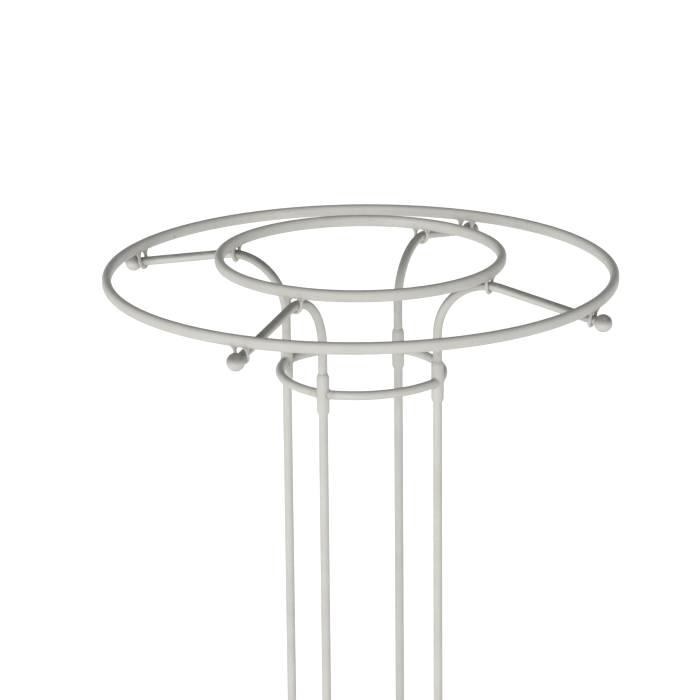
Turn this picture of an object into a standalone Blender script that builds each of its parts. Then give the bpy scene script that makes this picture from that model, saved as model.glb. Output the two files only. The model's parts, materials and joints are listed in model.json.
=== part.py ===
import bpy
import bmesh
from math import acos, atan, atan2, cos, pi, radians, sin, sqrt, tan
from mathutils import Matrix, Vector

# A rose umbrella: four posts carry a welded collar of sockets, and four arched arms
# plugged into those sockets carry two hoops. Metres, +Z up, origin on the ground on
# the centre line. One post and arm stand on each of +X, +Y, -X and -Y.

# Overall sizes
collarHeight = 1.480
postCircleRadius = 0.148
innerRingDiameter = 0.508
outerRingDiameter = 0.900

# Posts and their foot plugs
postDiameter = 0.016
postWall = 0.0015
footPlugFlange = 0.004
footPlugSpigot = 0.014

# Sockets of the collar
socketDiameter = 0.022
socketLength = 0.072
socketShoulder = 0.006
socketRim = 0.0010
socketWeb = 0.012

# Collar rails between the sockets, a little flatter than the circle of the posts
railDiameter = 0.016
railWall = 0.0015
railInset = 0.006

# Arched arms
armDiameter = 0.016
armWall = 0.0015
armBendStart = 0.0845
armBendRadius = 0.100
armSlope = radians(11.3)

# Hoop tube, a flat oval standing on edge
hoopTubeHeight = 0.021
hoopTubeWidth = 0.016
hoopWall = 0.0015
drainHoleDiameter = 0.004
innerHoopAboveArm = 0.0231
outerHoopAboveArm = 0.0288

# Wire eyes under the hoops
eyeWireDiameter = 0.006
eyeFit = 0.0006

# Ball finials and the studs they screw onto
ballDiameter = 0.031
ballSeatMargin = 0.0005
studDiameter = 0.008
studReach = 0.014
studInsert = 0.014
studSpareDepth = 0.0015

# Clearances: weld and seat gaps between touching pieces, and the fit of a tube in its bore
seatGap = 0.0003
boreFit = 0.0003
armEndPastWire = 0.0045

# Facets
tubeSides = 16
armSides = 12
boreSides = 8
wireSides = 8
turnSides = 16
ballSides = 16
bendSteps = 11
railSteps = 10
wireBendSteps = 8
hoopCornerSteps = 6
coreCornerSteps = 3
outerHoopSteps = 64
innerHoopSteps = 48
ballSteps = 12

sideNames = ["right", "back", "left", "front"]
quarter = pi / 2


def clearScene():
    for item in list(bpy.data.objects):
        bpy.data.objects.remove(item, do_unlink=True)


def makeMaterial(name, color, roughness, metallic):
    material = bpy.data.materials.new(name)
    material.use_nodes = True
    shader = material.node_tree.nodes["Principled BSDF"]
    shader.inputs["Base Color"].default_value = (*color, 1.0)
    shader.inputs["Roughness"].default_value = roughness
    shader.inputs["Metallic"].default_value = metallic
    return material


def makeEmpty(name, height):
    empty = bpy.data.objects.new(name, None)
    empty.location = (0.0, 0.0, height)
    bpy.context.scene.collection.objects.link(empty)
    return empty


def meshFrom(name, bm, sharpAngle=radians(40)):
    bmesh.ops.remove_doubles(bm, verts=bm.verts, dist=1e-6)
    mesh = bpy.data.meshes.new(name)
    bm.to_mesh(mesh)
    bm.free()
    mesh.shade_smooth()
    mesh.set_sharp_from_angle(angle=sharpAngle)
    return mesh


def addObject(name, mesh, material, parent=None, location=(0, 0, 0), rotation=(0, 0, 0)):
    item = bpy.data.objects.new(name, mesh)
    bpy.context.scene.collection.objects.link(item)
    item.matrix_world = Matrix.Translation(location) @ rotationMatrix(rotation)
    if material and not mesh.materials:
        mesh.materials.append(material)
    if parent:
        item.parent = parent
        item.matrix_parent_inverse = Matrix.Translation(-parent.location)
    return item


def rotationMatrix(rotation):
    tilt = Matrix.Rotation(rotation[1], 4, "Y")
    turn = Matrix.Rotation(rotation[2], 4, "Z")
    return turn @ tilt


def addCutter(name, mesh, location=(0, 0, 0)):
    cutter = addObject(name, mesh, None, location=location)
    cutter.hide_render = True
    cutter.display_type = "WIRE"
    return cutter


def cutWith(item, cutter):
    modifier = item.modifiers.new(cutter.name, "BOOLEAN")
    modifier.operation = "DIFFERENCE"
    modifier.object = cutter


def skinRings(bm, rings, closed=False, flip=False):
    """Quads between rings of points, and flat ends unless the last ring joins the first."""
    loops = [[bm.verts.new(point) for point in ring] for ring in rings]
    count = len(loops[0])
    pairs = list(zip(loops, loops[1:]))
    if closed:
        pairs.append((loops[-1], loops[0]))
    for lower, upper in pairs:
        for i in range(count):
            j = (i + 1) % count
            corners = [lower[i], lower[j], upper[j], upper[i]]
            bm.faces.new(corners[::-1] if flip else corners)
    if not closed:
        bm.faces.new(loops[0] if flip else loops[0][::-1])
        bm.faces.new(loops[-1][::-1] if flip else loops[-1])


def turnedMesh(name, profile, sides):
    """A closed outline of (radius, height) points turned about Z."""
    bm = bmesh.new()
    verts = [bm.verts.new((radius, 0.0, height)) for radius, height in profile]
    edges = [bm.edges.new(pair) for pair in zip(verts, verts[1:])]
    if profile[0][0] > 0.0:
        edges.append(bm.edges.new((verts[-1], verts[0])))
    bmesh.ops.spin(
        bm, geom=verts + edges, cent=(0, 0, 0), axis=(0, 0, 1),
        angle=2 * pi, steps=sides, use_merge=True,
    )
    bmesh.ops.remove_doubles(bm, verts=bm.verts, dist=1e-6)
    bmesh.ops.recalc_face_normals(bm, faces=bm.faces)
    return meshFrom(name, bm)


def crossSection(station, radius, sides):
    """A circle square to a path in the XZ plane. A station is (x, z, heading)."""
    x, z, heading = station
    centre = Vector((x, 0.0, z))
    across = Vector((-sin(heading), 0.0, cos(heading)))
    side = Vector((0.0, 1.0, 0.0))
    ring = []
    for i in range(sides):
        angle = 2 * pi * i / sides
        ring.append(centre + across * (radius * cos(angle)) - side * (radius * sin(angle)))
    return ring


def boredTubeMesh(name, stations, outerRadius, innerRadius, sides):
    """A tube along a path, open at both ends."""
    outer = [crossSection(station, outerRadius, sides) for station in stations]
    inner = [crossSection(station, innerRadius, sides) for station in reversed(stations)]
    bm = bmesh.new()
    skinRings(bm, outer + inner, closed=True)
    bmesh.ops.recalc_face_normals(bm, faces=bm.faces)
    return meshFrom(name, bm)


def barMesh(name, stations, radius, sides):
    """A solid round bar along a path."""
    bm = bmesh.new()
    skinRings(bm, [crossSection(station, radius, sides) for station in stations])
    bmesh.ops.recalc_face_normals(bm, faces=bm.faces)
    return meshFrom(name, bm)


def flatOval(width, height, cornerSteps):
    """Points of a flat oval standing on edge: two half circles and two straight sides."""
    radius = width / 2
    rise = height / 2 - radius
    points = []
    for start, lift in ((0.0, rise), (pi, -rise)):
        for i in range(cornerSteps + 1):
            angle = start + pi * i / cornerSteps
            points.append((radius * cos(angle), lift + radius * sin(angle)))
    return points


def hoopRings(section, radius, steps):
    rings = []
    for i in range(steps):
        angle = 2 * pi * i / steps
        rings.append([
            Vector(((radius + x) * cos(angle), (radius + x) * sin(angle), z))
            for x, z in section
        ])
    return rings


def hoopMesh(name, radius, steps):
    """The hoop's tube and, inside it, the tube's hollow."""
    outerSection = flatOval(hoopTubeWidth, hoopTubeHeight, hoopCornerSteps)
    coreSection = flatOval(hoopTubeWidth - 2 * hoopWall, hoopTubeHeight - 2 * hoopWall, coreCornerSteps)
    bm = bmesh.new()
    skinRings(bm, hoopRings(outerSection, radius, steps), closed=True, flip=True)
    skinRings(bm, hoopRings(coreSection, radius, steps), closed=True)
    return meshFrom(name, bm)


# Sizes worked out from the ones above
postRadius = postDiameter / 2
armRadius = armDiameter / 2
socketRadius = socketDiameter / 2
wireRadius = eyeWireDiameter / 2
ballRadius = ballDiameter / 2
studRadius = studDiameter / 2
innerHoopRadius = (innerRingDiameter - hoopTubeWidth) / 2
outerHoopRadius = (outerRingDiameter - hoopTubeWidth) / 2
postBottom = footPlugFlange + seatGap
postTop = collarHeight - socketWeb / 2 - seatGap
armBottom = socketWeb / 2 + seatGap
bendEndX = postCircleRadius + armBendRadius * (1 + sin(armSlope))
bendEndZ = armBendStart + armBendRadius * cos(armSlope)


def armCentreAt(radius):
    """Height of the arm's centre line above the collar, at a distance from the middle."""
    if radius >= bendEndX:
        return bendEndZ - (radius - bendEndX) * tan(armSlope)
    reach = postCircleRadius + armBendRadius - radius
    return armBendStart + sqrt(armBendRadius ** 2 - reach ** 2)


def eyeSpot(radius, aboveArm):
    """Where a hoop's eye goes round the arm: square to the arm, in line with the hoop's underside.

    Gives the distance from the middle, the height above the collar, the eye's lean and the
    distance from there up to the middle of the hoop's rounded underside.
    """
    height = armCentreAt(radius) + aboveArm - (hoopTubeHeight - hoopTubeWidth) / 2
    overX = radius - postCircleRadius - armBendRadius
    overZ = height - armBendStart
    lean = atan2(overX, overZ)
    drop = sqrt(overX ** 2 + overZ ** 2) - armBendRadius
    if lean > armSlope:
        lean = armSlope
        drop = (height - armCentreAt(radius)) * cos(armSlope)
    return radius - drop * sin(lean), height - drop * cos(lean), lean, drop


outerEyeX, outerEyeZ, outerEyeLean, outerEyeDrop = eyeSpot(outerHoopRadius, outerHoopAboveArm)
armEndX = outerEyeX + (wireRadius + armEndPastWire) * cos(armSlope)
armEndZ = outerEyeZ - (wireRadius + armEndPastWire) * sin(armSlope)
ballSeatRadius = armRadius + ballSeatMargin
ballSeatDepth = sqrt(ballRadius ** 2 - ballSeatRadius ** 2)
ballReach = seatGap + ballSeatDepth
ballX = armEndX + ballReach * cos(armSlope)
ballZ = armEndZ - ballReach * sin(armSlope)


def postMesh():
    stations = [(0.0, postBottom, quarter), (0.0, postTop, quarter)]
    return boredTubeMesh("post", stations, postRadius, postRadius - postWall, tubeSides)


def footPlugMesh():
    spigotRadius = postRadius - postWall - boreFit
    spigotTop = postBottom + footPlugSpigot
    chamfer = 0.001
    profile = [
        (0.0, 0.0),
        (postRadius - chamfer, 0.0),
        (postRadius, chamfer),
        (postRadius, footPlugFlange),
        (spigotRadius, footPlugFlange),
        (spigotRadius, spigotTop),
        (0.0, spigotTop),
    ]
    return turnedMesh("foot_plug", profile, tubeSides)


def socketMesh():
    """A sleeve with a bore from each end and a web between them, shouldered at both ends."""
    lowerBore = postRadius + boreFit
    upperBore = armRadius + boreFit
    end = socketLength / 2
    body = end - socketShoulder
    web = socketWeb / 2
    profile = [
        (0.0, -web),
        (lowerBore, -web),
        (lowerBore, -end),
        (lowerBore + socketRim, -end),
        (socketRadius, -body),
        (socketRadius, body),
        (upperBore + socketRim, end),
        (upperBore, end),
        (upperBore, web),
        (0.0, web),
    ]
    return turnedMesh("socket", profile, turnSides)


def railMesh():
    """An arc of the collar, from socket axis to socket axis, before it is coped."""
    halfChord = postCircleRadius * sin(quarter / 2)
    rise = postCircleRadius - railInset - halfChord
    halfTurn = 2 * atan(rise / halfChord)
    arcRadius = halfChord / sin(halfTurn)
    arcCentre = Vector((postCircleRadius - railInset - arcRadius, 0.0, 0.0))
    toMiddle = Matrix.Rotation(quarter / 2, 3, "Z")
    outer = []
    inner = []
    for i in range(railSteps + 1):
        turn = Matrix.Rotation(halfTurn * (2 * i / railSteps - 1), 3, "Z")
        for rings, radius in ((outer, railDiameter / 2), (inner, railDiameter / 2 - railWall)):
            ring = crossSection((0.0, 0.0, quarter), radius, armSides)
            upright = [Vector((arcRadius + p.x, 0.0, p.y)) for p in ring]
            rings.append([toMiddle @ (arcCentre + turn @ point) for point in upright])
    bm = bmesh.new()
    skinRings(bm, outer + inner[::-1], closed=True)
    bmesh.ops.recalc_face_normals(bm, faces=bm.faces)
    return meshFrom("collar_rail", bm)


def socketCutterMesh():
    radius = socketRadius + seatGap
    reach = railDiameter
    stations = [(0.0, -reach, quarter), (0.0, reach, quarter)]
    return barMesh("socket_cutter", stations, radius, 2 * turnSides)


def armMesh():
    stations = [(postCircleRadius, armBottom, quarter)]
    bendCentreX = postCircleRadius + armBendRadius
    for i in range(bendSteps + 1):
        turn = (quarter + armSlope) * i / bendSteps
        x = bendCentreX - armBendRadius * cos(turn)
        z = armBendStart + armBendRadius * sin(turn)
        stations.append((x, z, quarter - turn))
    stations.append((armEndX, armEndZ, -armSlope))
    return boredTubeMesh("arm", stations, armRadius, armRadius - armWall, armSides)


def eyeMesh(name, radius, aboveArm):
    """A U of wire: two legs hang from the hoop and the bend passes under the arm."""
    x, z, lean, drop = eyeSpot(radius, aboveArm)
    legSpread = armRadius + eyeFit + wireRadius
    legTop = drop - hoopTubeWidth / 2 - seatGap
    stations = [(-legSpread, legTop, -quarter)]
    for i in range(wireBendSteps + 1):
        turn = pi * i / wireBendSteps
        stations.append((-legSpread * cos(turn), -legSpread * sin(turn), turn - quarter))
    stations.append((legSpread, legTop, quarter))
    mesh = barMesh(name, stations, wireRadius, wireSides)
    mesh.transform(Matrix.Rotation(quarter, 4, "Z"))
    mesh.transform(Matrix.Translation((x, 0.0, z)) @ Matrix.Rotation(lean, 4, "Y"))
    return mesh


def drainCutterMesh(radius, steps):
    """A short bar through the hoop's underside, in the middle of a facet between two arms."""
    stations = [(0.0, -hoopTubeHeight / 2 - hoopWall, quarter), (0.0, -hoopTubeHeight / 4, quarter)]
    mesh = barMesh("drain_cutter", stations, drainHoleDiameter / 2, boreSides)
    mesh.transform(Matrix.Rotation(pi / boreSides, 4, "Z"))
    facet = 2 * pi / steps
    facetRadius = radius * cos(facet / 2)
    mesh.transform(Matrix.Translation((facetRadius, 0.0, 0.0)))
    mesh.transform(Matrix.Rotation(quarter / 2 + facet / 2, 4, "Z"))
    return mesh


def studMesh():
    """An insert that fills the arm's end and a threaded shank that the ball screws onto."""
    insertRadius = armRadius - armWall - boreFit
    profile = [
        (0.0, -studInsert),
        (insertRadius, -studInsert),
        (insertRadius, 0.0),
        (studRadius, 0.0),
        (studRadius, studReach),
        (0.0, studReach),
    ]
    mesh = turnedMesh("finial_stud", profile, armSides)
    mesh.transform(Matrix.Rotation(quarter, 4, "Y"))
    return mesh


def ballMesh():
    """A ball with a flat seat for the arm's end and a blind bore for the stud."""
    boreRadius = studRadius + boreFit
    boreEnd = -ballReach + studReach + studSpareDepth
    start = acos(-ballSeatDepth / ballRadius)
    profile = [(0.0, boreEnd), (boreRadius, boreEnd), (boreRadius, -ballSeatDepth)]
    for i in range(ballSteps + 1):
        angle = start * (1 - i / ballSteps)
        profile.append((ballRadius * sin(angle), ballRadius * cos(angle)))
    profile[-1] = (0.0, ballRadius)
    mesh = turnedMesh("ball_finial", profile, ballSides)
    mesh.transform(Matrix.Rotation(quarter, 4, "Y"))
    return mesh


def placeAround(prefix, mesh, material, parent, height=0.0, radius=0.0, tilt=0.0):
    """One copy of a piece on each side, turned about the centre line."""
    for i, side in enumerate(sideNames):
        turn = quarter * i
        location = (radius * cos(turn), radius * sin(turn), height)
        addObject(f"{prefix}_{side}", mesh, material, parent, location, (0.0, tilt, turn))


def buildLegs(coat, plastic):
    legs = makeEmpty("legs", 0.0)
    placeAround("post", postMesh(), coat, legs, radius=postCircleRadius)
    placeAround("foot_plug", footPlugMesh(), plastic, legs, radius=postCircleRadius)


def buildCollar(coat):
    collar = makeEmpty("collar", collarHeight)
    placeAround("socket", socketMesh(), coat, collar, height=collarHeight, radius=postCircleRadius)
    cutterMesh = socketCutterMesh()
    cutters = []
    for i in range(4):
        turn = quarter * i
        spot = (postCircleRadius * cos(turn), postCircleRadius * sin(turn), collarHeight)
        cutters.append(addCutter(f"socket_cutter_{i}", cutterMesh, spot))
    mesh = railMesh()
    for i in range(4):
        name = f"collar_rail_{sideNames[i]}_{sideNames[(i + 1) % 4]}"
        rail = addObject(name, mesh, coat, collar, (0, 0, collarHeight), (0, 0, quarter * i))
        cutWith(rail, cutters[i])
        cutWith(rail, cutters[(i + 1) % 4])


def buildCanopy(coat, zinc):
    canopy = makeEmpty("canopy", collarHeight)
    placeAround("arm", armMesh(), coat, canopy, height=collarHeight)
    hoops = [
        ("inner", innerHoopRadius, innerHoopAboveArm, innerHoopSteps),
        ("outer", outerHoopRadius, outerHoopAboveArm, outerHoopSteps),
    ]
    for name, radius, aboveArm, steps in hoops:
        height = collarHeight + armCentreAt(radius) + aboveArm
        ring = addObject(f"{name}_ring", hoopMesh(f"{name}_ring", radius, steps), coat, canopy, (0, 0, height))
        cutWith(ring, addCutter(f"{name}_drain_cutter", drainCutterMesh(radius, steps), (0, 0, height)))
        eye = eyeMesh(f"{name}_eye", radius, aboveArm)
        placeAround(f"{name}_eye", eye, coat, canopy, height=collarHeight)
    placeAround(
        "finial_stud", studMesh(), zinc, canopy,
        height=collarHeight + armEndZ, radius=armEndX, tilt=armSlope,
    )
    return canopy


def buildFinials(coat):
    """Each ball's origin is its centre, on the axis that it unscrews about."""
    finials = makeEmpty("finials", collarHeight)
    placeAround(
        "ball_finial", ballMesh(), coat, finials,
        height=collarHeight + ballZ, radius=ballX, tilt=armSlope,
    )


clearScene()
creamCoat = makeMaterial("cream_coated_steel", (0.62, 0.60, 0.55), 0.45, 0.0)
greyPlastic = makeMaterial("grey_plastic", (0.09, 0.09, 0.085), 0.55, 0.0)
zincPlate = makeMaterial("zinc_plated_steel", (0.55, 0.56, 0.57), 0.35, 1.0)
buildLegs(creamCoat, greyPlastic)
buildCollar(creamCoat)
buildCanopy(creamCoat, zincPlate)
buildFinials(creamCoat)
print(f"ball centres {ballX:.4f} m out, {collarHeight + ballZ:.4f} m up")
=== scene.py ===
import json
from math import acos, atan, atan2, cos, pi, radians, sin, sqrt, tan

import bmesh
import bpy
import numpy as np
from mathutils import Matrix, Vector

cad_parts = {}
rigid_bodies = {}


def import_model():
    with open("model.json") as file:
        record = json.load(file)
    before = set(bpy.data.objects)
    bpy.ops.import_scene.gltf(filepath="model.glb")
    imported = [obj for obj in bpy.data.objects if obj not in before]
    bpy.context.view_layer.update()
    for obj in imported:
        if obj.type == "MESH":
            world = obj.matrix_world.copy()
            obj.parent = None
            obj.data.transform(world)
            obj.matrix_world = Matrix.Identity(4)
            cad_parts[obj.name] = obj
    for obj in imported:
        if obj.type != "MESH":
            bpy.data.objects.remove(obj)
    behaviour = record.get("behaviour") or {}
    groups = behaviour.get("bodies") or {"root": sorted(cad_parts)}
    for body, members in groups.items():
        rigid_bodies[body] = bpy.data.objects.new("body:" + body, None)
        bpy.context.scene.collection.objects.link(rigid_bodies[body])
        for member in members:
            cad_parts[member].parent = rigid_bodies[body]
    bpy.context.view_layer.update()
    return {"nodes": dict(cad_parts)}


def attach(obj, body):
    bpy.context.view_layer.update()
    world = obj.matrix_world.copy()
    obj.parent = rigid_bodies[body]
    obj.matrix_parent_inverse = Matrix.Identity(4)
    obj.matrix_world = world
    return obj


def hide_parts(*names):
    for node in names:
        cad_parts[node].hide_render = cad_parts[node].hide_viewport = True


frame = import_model()
for thing in list(bpy.data.objects):
    if thing.name in ("Cube", "Light", "Camera"):
        bpy.data.objects.remove(thing, do_unlink=True)
print("frame loaded")

quarter = pi / 2
sideNames = ["right", "back", "left", "front"]  # +X, +Y, -X, -Y

# real sizes in metres, the same as the solids have
umbrella = {
    "collarHeight": 1.480,
    "postCircle": 0.148,
    "innerHoopRadius": 0.246,
    "outerHoopRadius": 0.442,
    "innerHoopAboveArm": 0.0231,
    "outerHoopAboveArm": 0.0288,
    "seat": 0.0003,  # gap at a seat or weld
}
armShape = {
    "radius": 0.008,
    "wall": 0.0015,
    "bottom": 0.0063,  # lower end above the middle of the collar
    "bendStart": 0.0845,
    "bendRadius": 0.100,
    "slope": radians(11.3),
    "pastWire": 0.0045,  # how far the arm runs on past its outer eye
    "sides": 36,
    "bendSteps": 44,
}
eyeShape = {"wireRadius": 0.003, "fit": 0.0006, "sides": 24, "bendSteps": 28}
hoopShape = {"width": 0.016, "height": 0.021, "wall": 0.0015, "cornerSteps": 16, "coreSteps": 4}

stain = {"reach": 0.011, "railOffset": 0.006}  # coat marked by the heat of a weld
weldSpots = []
sharpAngle = radians(35)  # edges sharper than this stay crisp


# shapes made of rings of points

def skinRings(bm, rings, closed=False, flip=False):  # quads between rings, flat ends if open
    loops = [[bm.verts.new(point) for point in ring] for ring in rings]
    count = len(loops[0])
    pairs = list(zip(loops, loops[1:]))
    if closed:
        pairs.append((loops[-1], loops[0]))
    for lower, upper in pairs:
        for i in range(count):
            j = (i + 1) % count
            corners = [lower[i], lower[j], upper[j], upper[i]]
            bm.faces.new(corners[::-1] if flip else corners)
    if not closed:
        bm.faces.new(loops[0][::-1])
        bm.faces.new(loops[-1])


def circleAt(centre, across, side, radius, sides):
    ring = []
    for i in range(sides):
        angle = 2 * pi * i / sides
        ring.append(centre + across * (radius * cos(angle)) - side * (radius * sin(angle)))
    return ring


def crossSection(station, radius, sides):  # a station is (x, z, heading) in the XZ plane
    x, z, heading = station
    across = Vector((-sin(heading), 0.0, cos(heading)))
    return circleAt(Vector((x, 0.0, z)), across, Vector((0.0, 1.0, 0.0)), radius, sides)


def tubeMesh(stations, radius, wall, sides, chamfer=0.0004):  # open tube, bevelled a little at both ends
    rings = [crossSection(stations[0], radius - chamfer, sides)]
    first = shiftStation(stations[0], chamfer)
    last = shiftStation(stations[-1], -chamfer)
    inside = [first] + list(stations[1:-1]) + [last]
    rings += [crossSection(station, radius, sides) for station in inside]
    rings.append(crossSection(stations[-1], radius - chamfer, sides))
    rings += [crossSection(station, radius - wall, sides) for station in reversed(stations)]
    bm = bmesh.new()
    skinRings(bm, rings, closed=True)
    bmesh.ops.recalc_face_normals(bm, faces=bm.faces)
    return bm


def shiftStation(station, distance):
    x, z, heading = station
    return (x + distance * cos(heading), z + distance * sin(heading), heading)


def barMesh(stations, radius, sides):
    bm = bmesh.new()
    skinRings(bm, [crossSection(station, radius, sides) for station in stations])
    bmesh.ops.recalc_face_normals(bm, faces=bm.faces)
    return bm


def turnedMesh(profile, sides):  # (radius, height) points turned about Z, both ends on the axis
    bm = bmesh.new()
    first, last = [bm.verts.new((0.0, 0.0, height)) for _, height in (profile[0], profile[-1])]
    across, side = Vector((1.0, 0.0, 0.0)), Vector((0.0, -1.0, 0.0))
    rings = []
    for radius, height in profile[1:-1]:
        ring = circleAt(Vector((0.0, 0.0, height)), across, side, radius, sides)
        rings.append([bm.verts.new(point) for point in ring])
    for i in range(sides):
        j = (i + 1) % sides
        bm.faces.new((first, rings[0][j], rings[0][i]))
        for lower, upper in zip(rings, rings[1:]):
            bm.faces.new((lower[i], lower[j], upper[j], upper[i]))
        bm.faces.new((rings[-1][i], rings[-1][j], last))
    bmesh.ops.recalc_face_normals(bm, faces=bm.faces)
    return bm


def addPiece(name, bm, place, material, body, nodes=(), shadeDepth=0.05):
    mesh = bpy.data.meshes.new(name)
    bm.to_mesh(mesh)
    mesh.transform(place)
    mesh.shade_smooth()
    mesh.set_sharp_from_angle(angle=sharpAngle)
    mesh.materials.append(material)
    piece = bpy.data.objects.new(name, mesh)
    bpy.context.scene.collection.objects.link(piece)
    stainNearWelds(mesh)
    paintedShade = mesh.attributes.new("shadeDepth", "FLOAT", "POINT")  # how far down the painted shade on top reaches
    paintedShade.data.foreach_set("value", [shadeDepth] * len(mesh.vertices))
    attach(piece, body)
    if nodes:
        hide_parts(*nodes)
    return piece


def stainNearWelds(mesh):  # 1 at a weld, fading over a few millimetres
    points = np.empty(len(mesh.vertices) * 3)
    mesh.vertices.foreach_get("co", points)
    points = points.reshape(-1, 3)
    amount = np.zeros(len(points))
    for spot in weldSpots:
        far = np.linalg.norm(points - np.array(spot), axis=1)
        amount = np.maximum(amount, np.exp(-((far / stain["reach"]) ** 2)))
    layer = mesh.attributes.new("nearWeld", "FLOAT", "POINT")
    layer.data.foreach_set("value", amount)


def around(i, height=0.0, radius=0.0, tilt=0.0):  # frame of the piece on side i
    turn = quarter * i
    place = Matrix.Translation((radius * cos(turn), radius * sin(turn), height))
    return place @ Matrix.Rotation(turn, 4, "Z") @ Matrix.Rotation(tilt, 4, "Y")


# finishes

def hexToLinear(code):
    channels = [int(code[i:i + 2], 16) / 255 for i in (1, 3, 5)]
    linear = [c / 12.92 if c <= 0.04045 else ((c + 0.055) / 1.055) ** 2.4 for c in channels]
    return (*linear, 1.0)


def addNode(material, kind, links=None, inputs=None, **settings):
    node = material.node_tree.nodes.new(kind)
    for key, value in settings.items():
        setattr(node, key, value)
    for key, value in (inputs or {}).items():
        node.inputs[key].default_value = value
    for key, socket in (links or {}).items():
        material.node_tree.links.new(socket, node.inputs[key])
    return node


def newMaterial(name):
    material = bpy.data.materials.new(name)
    material.use_nodes = True
    return material, material.node_tree.nodes["Principled BSDF"]


def perMetre(millimetres):  # noise scale whose features are this far apart
    return 1000.0 / millimetres


def powderCoatedSteel():
    # Steel tube sprayed with polyester powder and baked: a thick, slightly pebbled satin skin in pale
    # cream-grey, with painted shade on top, darkest on the arms and balls and partly a dull film of
    # weather, and faint stains at welds.
    coat = {
        "cream": "#D5D4CD",
        "shade": "#CECCC5",
        # colour of the painted shade on top, partly a dull film of weather
        "paintedShade": "#6C6961",
        "stain": "#8F8877",
        "chip": "#6E6A62",
        "mottleMm": 70.0,
        "mottleFrom": 0.38,
        "mottleTo": 0.68,
        "streakMm": 9.0,
        "streakFrom": 0.3,
        "streakTo": 0.7,
        "shadeEdge": 0.78,  # height of the normal where the painted shade starts on a piece given little of it
        "shadeSpan": 0.6,
        "shadeMost": 0.8,
        "shadeLeast": 0.75,  # what the streaks leave of it
        "stainFrom": 0.35,
        "stainTo": 0.7,
        "stainMost": 0.75,
        "chipMm": 14.0,
        "chipFrom": 0.735,
        "chipTo": 0.765,
        "chipMost": 0.6,
        "roughLow": 0.46,
        "roughHigh": 0.62,
        "ior": 1.48,
        "pebbleMm": 5.0,  # real pebbles are 1 to 2 mm, too fine to show at this distance
        "pebbleDepth": 0.0004,
        "pebbleStrength": 0.35,
    }
    material, shader = newMaterial("cream_powder_coated_steel")
    tree = material.node_tree
    place = addNode(material, "ShaderNodeTexCoord").outputs["Object"]
    mottle = addNode(material, "ShaderNodeTexNoise", {"Vector": place},
                     {"Scale": perMetre(coat["mottleMm"]), "Detail": 4.0, "Roughness": 0.6})
    mottleRamp = addNode(material, "ShaderNodeMapRange", {"Value": mottle.outputs["Fac"]},
                         {"From Min": coat["mottleFrom"], "From Max": coat["mottleTo"]})
    base = addNode(material, "ShaderNodeMix", {"Factor": mottleRamp.outputs["Result"]},
                   data_type="RGBA")
    base.inputs["A"].default_value = hexToLinear(coat["cream"])
    base.inputs["B"].default_value = hexToLinear(coat["shade"])

    # painted shade on the upper side, partly a film of weather, broken up by fine streaks; the more a
    # piece is given, the further down the painted shade reaches
    normal = addNode(material, "ShaderNodeNewGeometry").outputs["Normal"]
    up = addNode(material, "ShaderNodeSeparateXYZ", {"Vector": normal}).outputs["Z"]
    shadeDepth = addNode(material, "ShaderNodeAttribute", attribute_name="shadeDepth").outputs["Fac"]
    shadeLevel = addNode(material, "ShaderNodeMath", {0: shadeDepth, 2: up}, {1: coat["shadeEdge"]},
                        operation="MULTIPLY_ADD")
    shadeSpread = addNode(material, "ShaderNodeMapRange", {"Value": shadeLevel.outputs["Value"]},
                         {"From Min": coat["shadeEdge"], "From Max": coat["shadeEdge"] + coat["shadeSpan"],
                          "To Max": coat["shadeMost"]})
    streak = addNode(material, "ShaderNodeTexNoise", {"Vector": place},
                     {"Scale": perMetre(coat["streakMm"]), "Detail": 3.0})
    patchy = addNode(material, "ShaderNodeMapRange", {"Value": streak.outputs["Fac"]},
                     {"From Min": coat["streakFrom"], "From Max": coat["streakTo"],
                      "To Min": coat["shadeLeast"]})
    shadeAmount = addNode(material, "ShaderNodeMath",
                         {0: shadeSpread.outputs["Result"], 1: patchy.outputs["Result"]},
                         operation="MULTIPLY")
    shaded = addNode(material, "ShaderNodeMix",
                     {"Factor": shadeAmount.outputs["Value"], "A": base.outputs["Result"]},
                     data_type="RGBA")
    shaded.inputs["B"].default_value = hexToLinear(coat["paintedShade"])

    # stains that bleed out of the welds
    near = addNode(material, "ShaderNodeAttribute", attribute_name="nearWeld").outputs["Fac"]
    broken = addNode(material, "ShaderNodeMapRange", {"Value": streak.outputs["Fac"]},
                     {"From Min": coat["stainFrom"], "From Max": coat["stainTo"],
                      "To Max": coat["stainMost"]})
    stainAmount = addNode(material, "ShaderNodeMath", {0: near, 1: broken.outputs["Result"]},
                          operation="MULTIPLY")
    stained = addNode(material, "ShaderNodeMix",
                      {"Factor": stainAmount.outputs["Value"], "A": shaded.outputs["Result"]},
                      data_type="RGBA")
    stained.inputs["B"].default_value = hexToLinear(coat["stain"])

    # a few small chips down to the primer
    chip = addNode(material, "ShaderNodeTexNoise", {"Vector": place},
                   {"Scale": perMetre(coat["chipMm"]), "Detail": 2.0, "Roughness": 0.7})
    chipMask = addNode(material, "ShaderNodeMapRange", {"Value": chip.outputs["Fac"]},
                       {"From Min": coat["chipFrom"], "From Max": coat["chipTo"],
                        "To Max": coat["chipMost"]})
    chipped = addNode(material, "ShaderNodeMix",
                      {"Factor": chipMask.outputs["Result"], "A": stained.outputs["Result"]},
                      data_type="RGBA")
    chipped.inputs["B"].default_value = hexToLinear(coat["chip"])
    tree.links.new(chipped.outputs["Result"], shader.inputs["Base Color"])

    roughness = addNode(material, "ShaderNodeMapRange", {"Value": streak.outputs["Fac"]},
                        {"To Min": coat["roughLow"], "To Max": coat["roughHigh"]})
    tree.links.new(roughness.outputs["Result"], shader.inputs["Roughness"])
    shader.inputs["IOR"].default_value = coat["ior"]

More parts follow.
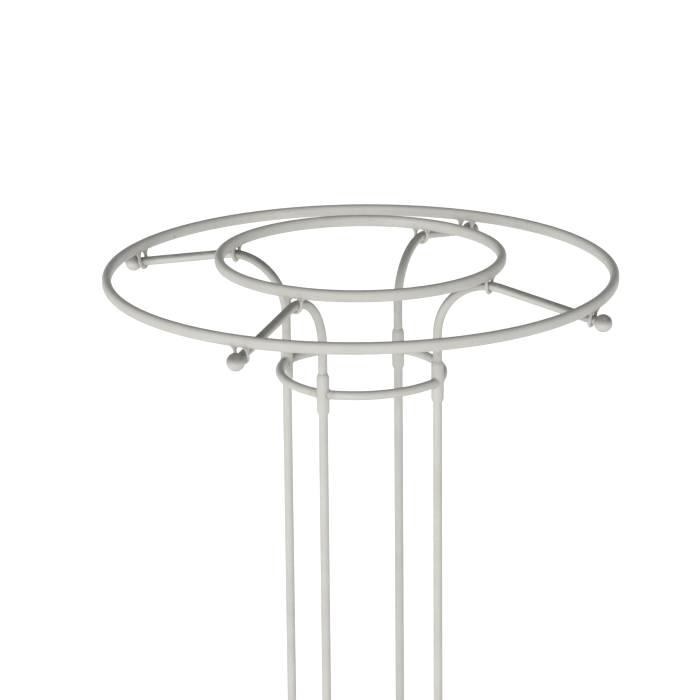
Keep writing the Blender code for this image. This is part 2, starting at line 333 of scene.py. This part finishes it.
    pebble = addNode(material, "ShaderNodeTexNoise", {"Vector": place},
                     {"Scale": perMetre(coat["pebbleMm"]), "Detail": 2.0})
    relief = addNode(material, "ShaderNodeMath",
                     {0: pebble.outputs["Fac"], 1: chipMask.outputs["Result"]}, operation="SUBTRACT")
    bump = addNode(material, "ShaderNodeBump", {"Height": relief.outputs["Value"]},
                   {"Strength": coat["pebbleStrength"], "Distance": coat["pebbleDepth"]})
    tree.links.new(bump.outputs["Normal"], shader.inputs["Normal"])
    return material


def mouldedPlastic():
    # Polypropylene foot plug, injection moulded: matte dark grey with a fine grain and paler scuffs.
    plug = {"grey": "#565653", "scuff": "#7B7A74", "scuffMm": 6.0, "scuffFrom": 0.5, "scuffTo": 0.75,
            "roughness": 0.6, "grainMm": 0.8, "grainDepth": 0.0001, "grainStrength": 0.3}
    material, shader = newMaterial("moulded_polypropylene")
    tree = material.node_tree
    place = addNode(material, "ShaderNodeTexCoord").outputs["Object"]
    scuff = addNode(material, "ShaderNodeTexNoise", {"Vector": place},
                    {"Scale": perMetre(plug["scuffMm"]), "Detail": 5.0})
    mask = addNode(material, "ShaderNodeMapRange", {"Value": scuff.outputs["Fac"]},
                   {"From Min": plug["scuffFrom"], "From Max": plug["scuffTo"]})
    color = addNode(material, "ShaderNodeMix", {"Factor": mask.outputs["Result"]}, data_type="RGBA")
    color.inputs["A"].default_value = hexToLinear(plug["grey"])
    color.inputs["B"].default_value = hexToLinear(plug["scuff"])
    tree.links.new(color.outputs["Result"], shader.inputs["Base Color"])
    shader.inputs["Roughness"].default_value = plug["roughness"]
    grain = addNode(material, "ShaderNodeTexNoise", {"Vector": place},
                    {"Scale": perMetre(plug["grainMm"])})
    bump = addNode(material, "ShaderNodeBump", {"Height": grain.outputs["Fac"]},
                   {"Strength": plug["grainStrength"], "Distance": plug["grainDepth"]})
    tree.links.new(bump.outputs["Normal"], shader.inputs["Normal"])
    return material


def zincPlatedSteel():
    # Turned steel stud, bright zinc plated: a cool, slightly cloudy metal with fine marks.
    zinc = {"bright": "#C9CCCF", "dull": "#A9ABAC", "marksMm": 1.2, "roughLow": 0.28, "roughHigh": 0.42}
    material, shader = newMaterial("zinc_plated_steel")
    tree = material.node_tree
    place = addNode(material, "ShaderNodeTexCoord").outputs["Object"]
    marks = addNode(material, "ShaderNodeTexNoise", {"Vector": place},
                    {"Scale": perMetre(zinc["marksMm"]), "Detail": 3.0})
    color = addNode(material, "ShaderNodeMix", {"Factor": marks.outputs["Fac"]}, data_type="RGBA")
    color.inputs["A"].default_value = hexToLinear(zinc["bright"])
    color.inputs["B"].default_value = hexToLinear(zinc["dull"])
    tree.links.new(color.outputs["Result"], shader.inputs["Base Color"])
    shader.inputs["Metallic"].default_value = 1.0
    rough = addNode(material, "ShaderNodeMapRange", {"Value": marks.outputs["Fac"]},
                    {"To Min": zinc["roughLow"], "To Max": zinc["roughHigh"]})
    tree.links.new(rough.outputs["Result"], shader.inputs["Roughness"])
    return material


coatMaterial = powderCoatedSteel()
plugMaterial = mouldedPlastic()
zincMaterial = zincPlatedSteel()
print("materials made")


# where the arms, hoops and eyes are

bendEndX = umbrella["postCircle"] + armShape["bendRadius"] * (1 + sin(armShape["slope"]))
bendEndZ = armShape["bendStart"] + armShape["bendRadius"] * cos(armShape["slope"])


def armCentreAt(radius):  # height of the arm's centre line above the collar
    if radius >= bendEndX:
        return bendEndZ - (radius - bendEndX) * tan(armShape["slope"])
    reach = umbrella["postCircle"] + armShape["bendRadius"] - radius
    return armShape["bendStart"] + sqrt(armShape["bendRadius"] ** 2 - reach ** 2)


hoops = {
    "inner": (umbrella["innerHoopRadius"], umbrella["innerHoopAboveArm"]),
    "outer": (umbrella["outerHoopRadius"], umbrella["outerHoopAboveArm"]),
}
hoopHeights = {name: armCentreAt(radius) + above for name, (radius, above) in hoops.items()}


def eyeSpot(radius, aboveArm):
    # middle of the eye's bend on the arm, its lean, and the distance along that lean to the centre of
    # the hoop's round underside
    height = armCentreAt(radius) + aboveArm - (hoopShape["height"] - hoopShape["width"]) / 2
    overX = radius - umbrella["postCircle"] - armShape["bendRadius"]
    overZ = height - armShape["bendStart"]
    lean = atan2(overX, overZ)
    drop = sqrt(overX ** 2 + overZ ** 2) - armShape["bendRadius"]
    if lean > armShape["slope"]:
        lean = armShape["slope"]
        drop = (height - armCentreAt(radius)) * cos(lean)
    return radius - drop * sin(lean), height - drop * cos(lean), lean, drop


legSpread = armShape["radius"] + eyeShape["fit"] + eyeShape["wireRadius"]
eyeX, eyeZ = eyeSpot(*hoops["outer"])[:2]
armEndX = eyeX + (eyeShape["wireRadius"] + armShape["pastWire"]) * cos(armShape["slope"])
armEndZ = eyeZ - (eyeShape["wireRadius"] + armShape["pastWire"]) * sin(armShape["slope"])

for name, height in hoopHeights.items():
    underside = umbrella["collarHeight"] + height - hoopShape["height"] / 2
    for i in range(4):
        for sign in (-1, 1):
            weldSpots.append(tuple(around(i) @ Vector((hoops[name][0], sign * legSpread, underside))))


# posts and foot plugs

def buildPosts():
    post = {"radius": 0.008, "wall": 0.0015, "bottom": 0.0043, "socketWeb": 0.012, "sides": 32}
    plug = {"flange": 0.004, "spigot": 0.014, "fit": 0.0003, "rounding": 0.001, "roundSteps": 5,
            "edge": 0.0003, "leadIn": 0.001, "leadTaper": 0.0008}
    top = umbrella["collarHeight"] - post["socketWeb"] / 2 - umbrella["seat"]
    stations = [(0.0, post["bottom"], quarter), (0.0, top, quarter)]
    spigotRadius = post["radius"] - post["wall"] - plug["fit"]
    spigotTop = post["bottom"] + plug["spigot"]
    rounding = plug["rounding"]
    profile = [(0.0, 0.0), (post["radius"] - rounding, 0.0)]
    for i in range(1, plug["roundSteps"] + 1):  # rounded lower edge
        angle = quarter * i / plug["roundSteps"]
        profile.append((post["radius"] - rounding * (1 - sin(angle)), rounding * (1 - cos(angle))))
    profile += [
        (post["radius"], plug["flange"] - plug["edge"]),
        (post["radius"] - plug["edge"], plug["flange"]),
        (spigotRadius, plug["flange"]),
        (spigotRadius, spigotTop - plug["leadIn"]),
        (spigotRadius - plug["leadTaper"], spigotTop),
        (0.0, spigotTop),
    ]
    for i, side in enumerate(sideNames):
        place = around(i, radius=umbrella["postCircle"])
        bm = tubeMesh(stations, post["radius"], post["wall"], post["sides"])
        addPiece(f"post_tube_{side}", bm, place, coatMaterial, "legs", [f"post_{side}"])
        bm = turnedMesh(profile, post["sides"])
        addPiece(f"plug_{side}", bm, place, plugMaterial, "legs", [f"foot_plug_{side}"])


buildPosts()
print("posts made")


# collar

def buildCollar():
    socket = {"radius": 0.011, "length": 0.072, "shoulder": 0.006, "rim": 0.001, "web": 0.012,
              "bore": 0.0083, "lip": 0.0004, "neckSteps": 8, "sides": 40}
    rail = {"radius": 0.008, "wall": 0.0015, "inset": 0.006, "sides": 32, "steps": 26}
    bead = {"radius": 0.0016, "ripples": 17, "rippleDepth": 0.16, "steps": 96, "sides": 10}
    collarHeight = umbrella["collarHeight"]
    circle = umbrella["postCircle"]

    end = socket["length"] / 2
    web = socket["web"] / 2
    bore = socket["bore"]

    def shoulder(sign):  # swaged neck: runs smoothly from the sleeve down to the rim
        neck = []
        rimRadius = bore + socket["rim"]
        for i in range(socket["neckSteps"] + 1):
            t = i / socket["neckSteps"]
            ease = 0.5 - 0.5 * cos(pi * t)
            neck.append((socket["radius"] + (rimRadius - socket["radius"]) * ease,
                         sign * (end - socket["shoulder"] * (1 - t))))
        neck[-1] = (rimRadius, sign * (end - socket["lip"]))
        neck.append((rimRadius - socket["lip"], sign * end))
        return neck

    profile = [(0.0, -web), (bore, -web), (bore, -end)]
    profile += shoulder(-1)[::-1]
    profile += shoulder(1)
    profile += [(bore, end), (bore, web), (0.0, web)]

    # a rail is an arc through the axes of two sleeves, a little flatter than the circle of the posts
    halfChord = circle * sin(quarter / 2)
    rise = circle - rail["inset"] - halfChord
    halfTurn = 2 * atan(rise / halfChord)
    arcRadius = halfChord / sin(halfTurn)
    arcCentreOut = circle - rail["inset"] - arcRadius
    arcCentre = Vector((arcCentreOut * cos(quarter / 2), arcCentreOut * sin(quarter / 2), 0.0))

    def railPoint(radius, turn, height):  # turn is counted from the middle of the rail
        bearing = quarter / 2 + turn
        return arcCentre + Vector((radius * cos(bearing), radius * sin(bearing), height))

    def meetTurn(radius, reach):  # turn at which a line of the rail meets the first sleeve
        toSleeve = Vector((circle, 0.0, 0.0)) - arcCentre
        far = toSleeve.length
        bearing = atan2(toSleeve.y, toSleeve.x) - quarter / 2
        return bearing + acos((radius ** 2 + far ** 2 - reach ** 2) / (2 * far * radius))

    def railRings(tubeRadius):
        rings = []
        for i in range(rail["steps"] + 1):
            ring = []
            for j in range(rail["sides"]):
                angle = 2 * pi * j / rail["sides"]
                radius = arcRadius + tubeRadius * cos(angle)
                start = meetTurn(radius, socket["radius"] + umbrella["seat"])
                turn = start * (1 - 2 * i / rail["steps"])
                ring.append(railPoint(radius, turn, tubeRadius * sin(angle)))
            rings.append(ring)
        return rings

    def beadMesh():  # a rippled weld bead that follows the joint of rail and sleeve
        rings = []
        for i in range(bead["steps"]):
            angle = 2 * pi * i / bead["steps"]
            radius = arcRadius + rail["radius"] * cos(angle)
            turn = meetTurn(radius, socket["radius"])
            centre = railPoint(radius, turn, rail["radius"] * sin(angle))
            middle = railPoint(arcRadius, turn, 0.0)
            out = (centre - middle).normalized()
            away = Vector((centre.x - circle, centre.y, 0.0)).normalized()
            size = bead["radius"] * (1 + bead["rippleDepth"] * sin(bead["ripples"] * angle))
            rings.append(circleAt(centre, out, away, size, bead["sides"]))
        bm = bmesh.new()
        skinRings(bm, rings, closed=True)
        bmesh.ops.recalc_face_normals(bm, faces=bm.faces)
        return bm

    jointTurn = meetTurn(arcRadius, socket["radius"])
    for i in range(4):
        turned = Matrix.Rotation(quarter * i, 3, "Z")
        for turn in (jointTurn, -jointTurn):
            for sign in (-1, 1):
                spot = railPoint(arcRadius, turn, collarHeight + sign * stain["railOffset"])
                weldSpots.append(tuple(turned @ spot))
    for i, side in enumerate(sideNames):
        bm = turnedMesh(profile, socket["sides"])
        place = around(i, collarHeight, circle)
        addPiece(f"sleeve_{side}", bm, place, coatMaterial, "collar", [f"socket_{side}"])
        run = f"{side}_{sideNames[(i + 1) % 4]}"
        bm = bmesh.new()
        inside = railRings(rail["radius"] - rail["wall"])
        skinRings(bm, railRings(rail["radius"]) + inside[::-1], closed=True)
        bmesh.ops.recalc_face_normals(bm, faces=bm.faces)
        place = around(i, collarHeight)
        addPiece(f"rail_{run}", bm, place, coatMaterial, "collar", [f"collar_rail_{run}"])
        addPiece(f"rail_weld_{side}_a", beadMesh(), place, coatMaterial, "collar")
        bm = beadMesh()
        endForEnd = Matrix(((0, 1, 0, 0), (1, 0, 0, 0), (0, 0, 1, 0), (0, 0, 0, 1)))
        bmesh.ops.transform(bm, matrix=endForEnd, verts=bm.verts)
        bmesh.ops.reverse_faces(bm, faces=bm.faces)
        addPiece(f"rail_weld_{side}_b", bm, place, coatMaterial, "collar")


buildCollar()
print("collar made")


# arms

def buildArms():
    stations = [(umbrella["postCircle"], armShape["bottom"], quarter)]
    centreX = umbrella["postCircle"] + armShape["bendRadius"]
    for i in range(armShape["bendSteps"] + 1):
        turn = (quarter + armShape["slope"]) * i / armShape["bendSteps"]
        stations.append((centreX - armShape["bendRadius"] * cos(turn),
                         armShape["bendStart"] + armShape["bendRadius"] * sin(turn), quarter - turn))
    stations.append((armEndX, armEndZ, -armShape["slope"]))
    for i, side in enumerate(sideNames):
        bm = tubeMesh(stations, armShape["radius"], armShape["wall"], armShape["sides"])
        place = around(i, umbrella["collarHeight"])
        # the arms carry heavy painted shade on their upper sides
        addPiece(f"arm_tube_{side}", bm, place, coatMaterial, "canopy", [f"arm_{side}"], shadeDepth=0.9)


buildArms()
print("arms made")


# hoops

def flatOval(width, height, steps):
    radius = width / 2
    rise = height / 2 - radius
    points = []
    for start, lift in ((0.0, rise), (pi, -rise)):
        for i in range(steps + 1):
            angle = start + pi * i / steps
            points.append((radius * cos(angle), lift + radius * sin(angle)))
    return points


def buildHoops():
    seam = {"turn": radians(135), "depth": 0.00025, "halfWidth": 0.0015, "clear": 2.5,
            "sections": (-2, -1, -0.5, 0, 0.5, 1, 2)}
    drain = {"radius": 0.002, "sides": 20, "below": 0.001, "length": 0.004,
             "turns": {"inner": radians(48.75), "outer": radians(47.8125)}}
    stepCounts = {"inner": 192, "outer": 288}
    for name, count in stepCounts.items():
        radius = hoops[name][0]
        height = umbrella["collarHeight"] + hoopHeights[name]
        turns = [2 * pi * i / count for i in range(count)]
        width = seam["halfWidth"] / radius
        turns = [turn for turn in turns if abs(turn - seam["turn"]) > seam["clear"] * width]
        turns += [seam["turn"] + width * k for k in seam["sections"]]
        turns.sort()

        def hoopRings(cut, steps, grooved):  # set in from the outside by cut
            rings = []
            for turn in turns:
                off = abs(turn - seam["turn"]) / width
                dip = seam["depth"] * max(0.0, 1 - off) if grooved else 0.0
                less = 2 * (cut + dip)
                section = flatOval(hoopShape["width"] - less, hoopShape["height"] - less, steps)
                out = [(radius + x, z) for x, z in section]
                rings.append([Vector((far * cos(turn), far * sin(turn), z)) for far, z in out])
            return rings

        bm = bmesh.new()
        skinRings(bm, hoopRings(0.0, hoopShape["cornerSteps"], True), closed=True, flip=True)
        skinRings(bm, hoopRings(hoopShape["wall"], hoopShape["coreSteps"], False), closed=True)
        place = Matrix.Translation((0, 0, height))
        hoop = addPiece(f"hoop_{name}", bm, place, coatMaterial, "canopy", [f"{name}_ring"])
        bearing = drain["turns"][name]
        low = height - hoopShape["height"] / 2 - drain["below"]
        ends = [(0.0, low, quarter), (0.0, low + drain["length"], quarter)]
        cutterBm = barMesh(ends, drain["radius"], drain["sides"])
        cutterMesh = bpy.data.meshes.new("drain")
        cutterBm.to_mesh(cutterMesh)
        cutterMesh.transform(Matrix.Translation((radius * cos(bearing), radius * sin(bearing), 0.0)))
        cutter = bpy.data.objects.new("drain", cutterMesh)
        bpy.context.scene.collection.objects.link(cutter)
        drill = hoop.modifiers.new("drain", "BOOLEAN")
        drill.operation = "DIFFERENCE"
        drill.object = cutter
        applyModifiers(hoop)
        bpy.data.objects.remove(cutter, do_unlink=True)


def applyModifiers(piece):
    bpy.context.view_layer.update()
    shaped = piece.evaluated_get(bpy.context.evaluated_depsgraph_get())
    mesh = bpy.data.meshes.new_from_object(shaped)
    piece.modifiers.clear()
    piece.data = mesh


buildHoops()
print("hoops made")


# wire eyes

def buildEyes():
    # a fillet of weld flares from each leg of wire onto the hoop's round underside, more along the hoop
    # than across it
    weld = {"heights": {"inner": 0.0062, "outer": 0.0092}, "flareAlong": 0.0046, "flareAcross": 0.0028,
            "curve": 1.5, "ripples": 7, "rippleDepth": 0.07, "rippleTwist": 5, "sink": 0.0003,
            "inset": 0.0001, "steps": 40, "rings": 14}
    wire = eyeShape["wireRadius"]
    corner = hoopShape["width"] / 2
    for name, (radius, above) in hoops.items():
        x, z, lean, drop = eyeSpot(radius, above)
        legTop = drop - corner - umbrella["seat"]
        stations = [(-legSpread, legTop, -quarter)]
        for i in range(eyeShape["bendSteps"] + 1):
            turn = pi * i / eyeShape["bendSteps"]
            stations.append((-legSpread * cos(turn), -legSpread * sin(turn), turn - quarter))
        stations.append((legSpread, legTop, quarter))
        hang = Matrix.Translation((x, 0.0, z)) @ Matrix.Rotation(lean, 4, "Y")

        def filletRings(sign, phase):
            rings = []
            for k in range(weld["rings"]):
                t = k / (weld["rings"] - 1)
                flare = t ** weld["curve"]
                halfAcross = wire - weld["inset"] + weld["flareAcross"] * flare
                halfAlong = wire - weld["inset"] + weld["flareAlong"] * flare
                ring = []
                for j in range(weld["steps"]):
                    angle = 2 * pi * j / weld["steps"]
                    wave = sin(weld["ripples"] * angle + weld["rippleTwist"] * t + phase)
                    ripple = 1 + weld["rippleDepth"] * wave * t
                    across = halfAcross * ripple * cos(angle)
                    along = halfAlong * ripple * sin(angle)
                    surface = drop - sqrt(corner ** 2 - across ** 2)
                    up = surface - weld["heights"][name] * (1 - t) + weld["sink"] * t
                    ring.append(Vector((across, sign * legSpread + along, up)))
                rings.append(ring)
            return rings

        acrossArm = Matrix.Rotation(quarter, 4, "Z")
        for i, side in enumerate(sideNames):
            place = around(i, umbrella["collarHeight"]) @ hang
            bm = barMesh(stations, wire, eyeShape["sides"])
            replaced = [f"{name}_eye_{side}"]
            addPiece(f"{name}_loop_{side}", bm, place @ acrossArm, coatMaterial, "canopy", replaced)
            for k, sign in enumerate((-1, 1)):
                bm = bmesh.new()
                skinRings(bm, filletRings(sign, i + 2 * k))  # neighbours ripple differently
                bmesh.ops.recalc_face_normals(bm, faces=bm.faces)
                addPiece(f"{name}_loop_weld_{side}_{'ab'[k]}", bm, place, coatMaterial, "canopy")


buildEyes()
print("eyes made")


# ball finials and studs

def buildFinials():
    ball = {"radius": 0.0155, "seatMargin": 0.0005, "boreRadius": 0.0043, "studReach": 0.014,
            "spareDepth": 0.0015, "sides": 48, "steps": 36}
    seatRadius = armShape["radius"] + ball["seatMargin"]
    seatDepth = sqrt(ball["radius"] ** 2 - seatRadius ** 2)
    reach = umbrella["seat"] + seatDepth
    ballX = armEndX + reach * cos(armShape["slope"])
    ballZ = umbrella["collarHeight"] + armEndZ - reach * sin(armShape["slope"])
    boreEnd = -reach + ball["studReach"] + ball["spareDepth"]
    start = acos(-seatDepth / ball["radius"])
    profile = [(0.0, boreEnd), (ball["boreRadius"], boreEnd), (ball["boreRadius"], -seatDepth)]
    for i in range(ball["steps"] + 1):
        angle = start * (1 - i / ball["steps"])
        profile.append((ball["radius"] * sin(angle), ball["radius"] * cos(angle)))
    profile[-1] = (0.0, ball["radius"])
    lay = Matrix.Rotation(quarter, 4, "Y")
    for i, side in enumerate(sideNames):
        place = around(i, ballZ, ballX, armShape["slope"])
        bm = turnedMesh(profile, ball["sides"])
        replaced = [f"ball_finial_{side}"]
        # the balls carry the heaviest painted shade on their tops
        addPiece(f"ball_{side}", bm, place @ lay, coatMaterial, f"finial_{side}", replaced, shadeDepth=1.1)
        stud = frame["nodes"][f"finial_stud_{side}"]
        stud.data.materials.clear()
        stud.data.materials.append(zincMaterial)


buildFinials()
print("finials made")


# floor, light and camera

def seenDirectly(owner):  # 1 where the camera sees it, also mirrored in metal
    path = addNode(owner, "ShaderNodeLightPath").outputs
    mirrored = addNode(owner, "ShaderNodeMath", {0: path["Is Camera Ray"], 1: path["Is Glossy Ray"]},
                       operation="MAXIMUM").outputs["Value"]
    return addNode(owner, "ShaderNodeMath", {0: mirrored, 1: path["Is Transmission Ray"]},
                   operation="MAXIMUM").outputs["Value"]


def buildFloor():
    # white paper that glows to the camera, a little less near the feet, so that the shadow shows there
    paper = {"size": 60.0, "color": "#F4F4F3", "roughness": 0.9,
             "nearGlow": 0.77, "farGlow": 0.97, "near": 0.45, "far": 1.5}
    bm = bmesh.new()
    bmesh.ops.create_grid(bm, x_segments=1, y_segments=1, size=paper["size"] / 2)
    mesh = bpy.data.meshes.new("floor")
    bm.to_mesh(mesh)
    floor = bpy.data.objects.new("floor", mesh)
    bpy.context.scene.collection.objects.link(floor)
    material, shader = newMaterial("white_paper_floor")
    tree = material.node_tree
    shader.inputs["Base Color"].default_value = hexToLinear(paper["color"])
    shader.inputs["Roughness"].default_value = paper["roughness"]
    shader.inputs["Specular IOR Level"].default_value = 0.0
    place = addNode(material, "ShaderNodeNewGeometry").outputs["Position"]
    far = addNode(material, "ShaderNodeVectorMath", {0: place}, operation="LENGTH")
    glow = addNode(material, "ShaderNodeMapRange", {"Value": far.outputs["Value"]},
                   {"From Min": paper["near"], "From Max": paper["far"],
                    "To Min": paper["nearGlow"], "To Max": paper["farGlow"]})
    shown = addNode(material, "ShaderNodeMath", {0: glow.outputs["Result"], 1: seenDirectly(material)},
                    operation="MULTIPLY")
    light = addNode(material, "ShaderNodeEmission", {"Strength": shown.outputs["Value"]})
    both = addNode(material, "ShaderNodeAddShader",
                   {0: shader.outputs["BSDF"], 1: light.outputs["Emission"]})
    output = next(node for node in tree.nodes if node.type == "OUTPUT_MATERIAL")
    tree.links.new(both.outputs["Shader"], output.inputs["Surface"])
    mesh.materials.append(material)
    floor.visible_diffuse = False  # the pale room's light also reaches the tubes from below
    floor.visible_shadow = False


def buildLight():
    # a pale room with a dim ceiling, and one low wide lamp in front, a little to the left: tubes are
    # bright along the middle and darker at their edges and tops
    lamp = {"color": "#FFFFFF", "irradiance": 1.2, "softness": radians(15),
            "azimuth": radians(4), "elevation": radians(14)}
    room = {"wall": "#FFFFFF", "wallStrength": 1.0, "ceiling": "#F4F6FF", "ceilingStrength": 0.07,
            "floor": "#FFFFFF", "floorStrength": 0.42, "floorTo": radians(-70),
            "wallFrom": radians(-25), "wallTop": radians(2), "ceilingFrom": radians(30), "shown": 1.0}
    sun = bpy.data.lights.new("softbox", "SUN")
    sun.energy = lamp["irradiance"]
    sun.angle = lamp["softness"]
    sun.color = hexToLinear(lamp["color"])[:3]
    holder = bpy.data.objects.new("softbox", sun)
    bpy.context.scene.collection.objects.link(holder)
    azimuth, elevation = lamp["azimuth"], lamp["elevation"]
    travel = Vector((-sin(azimuth) * cos(elevation), cos(azimuth) * cos(elevation), -sin(elevation)))
    holder.rotation_mode = "QUATERNION"
    holder.rotation_quaternion = travel.to_track_quat("-Z", "Y")
    world = bpy.data.worlds.new("studio")
    bpy.context.scene.world = world
    world.use_nodes = True
    direction = addNode(world, "ShaderNodeTexCoord").outputs["Generated"]
    height = addNode(world, "ShaderNodeSeparateXYZ", {"Vector": direction}).outputs["Z"]

    def between(low, high):  # 0 below the one angle, 1 above the other
        return addNode(world, "ShaderNodeMapRange", {"Value": height},
                       {"From Min": sin(room[low]), "From Max": sin(room[high])},
                       interpolation_type="SMOOTHSTEP").outputs["Result"]

    def glow(part):
        return addNode(world, "ShaderNodeBackground", None,
                       {"Color": hexToLinear(room[part]), "Strength": room[part + "Strength"]}).outputs[0]

    aboveFloor = addNode(world, "ShaderNodeMixShader",
                         {"Fac": between("floorTo", "wallFrom"), 1: glow("floor"), 2: glow("wall")})
    lit = addNode(world, "ShaderNodeMixShader",
                  {"Fac": between("wallTop", "ceilingFrom"), 1: aboveFloor.outputs[0], 2: glow("ceiling")})
    white = world.node_tree.nodes["Background"]
    white.inputs["Color"].default_value = (1, 1, 1, 1)
    white.inputs["Strength"].default_value = room["shown"]
    mix = addNode(world, "ShaderNodeMixShader",
                  {"Fac": seenDirectly(world), 1: lit.outputs[0], 2: white.outputs[0]})
    output = next(node for node in world.node_tree.nodes if node.type == "OUTPUT_WORLD")
    world.node_tree.links.new(mix.outputs["Shader"], output.inputs["Surface"])


def buildCamera():
    shot = {"azimuth": radians(26.81), "elevation": radians(17.06), "roll": radians(0.543),
            "distance": 5.96, "focalPixels": 3389.7, "pictureWidth": 700, "sensorWidth": 36.0,
            "offsetRight": -0.0200, "offsetUp": 0.0365}
    azimuth, elevation, roll = shot["azimuth"], shot["elevation"], shot["roll"]
    ahead = Vector((-sin(azimuth) * cos(elevation), cos(azimuth) * cos(elevation), -sin(elevation)))
    flatRight = Vector((cos(azimuth), sin(azimuth), 0.0))
    flatUp = flatRight.cross(ahead)
    right = flatRight * cos(roll) - flatUp * sin(roll)
    up = flatRight * sin(roll) + flatUp * cos(roll)
    aim = Vector((0, 0, umbrella["collarHeight"])) + right * shot["offsetRight"] + up * shot["offsetUp"]
    data = bpy.data.cameras.new("camera")
    data.sensor_width = shot["sensorWidth"]
    data.lens = shot["focalPixels"] / shot["pictureWidth"] * shot["sensorWidth"]
    data.clip_end = 200.0
    camera = bpy.data.objects.new("camera", data)
    bpy.context.scene.collection.objects.link(camera)
    turn = Matrix((right, up, -ahead)).transposed().to_4x4()
    camera.matrix_world = Matrix.Translation(aim - ahead * shot["distance"]) @ turn
    bpy.context.scene.camera = camera


buildFloor()
buildLight()
buildCamera()
bpy.context.scene.view_settings.view_transform = "Standard"
print("stage made")
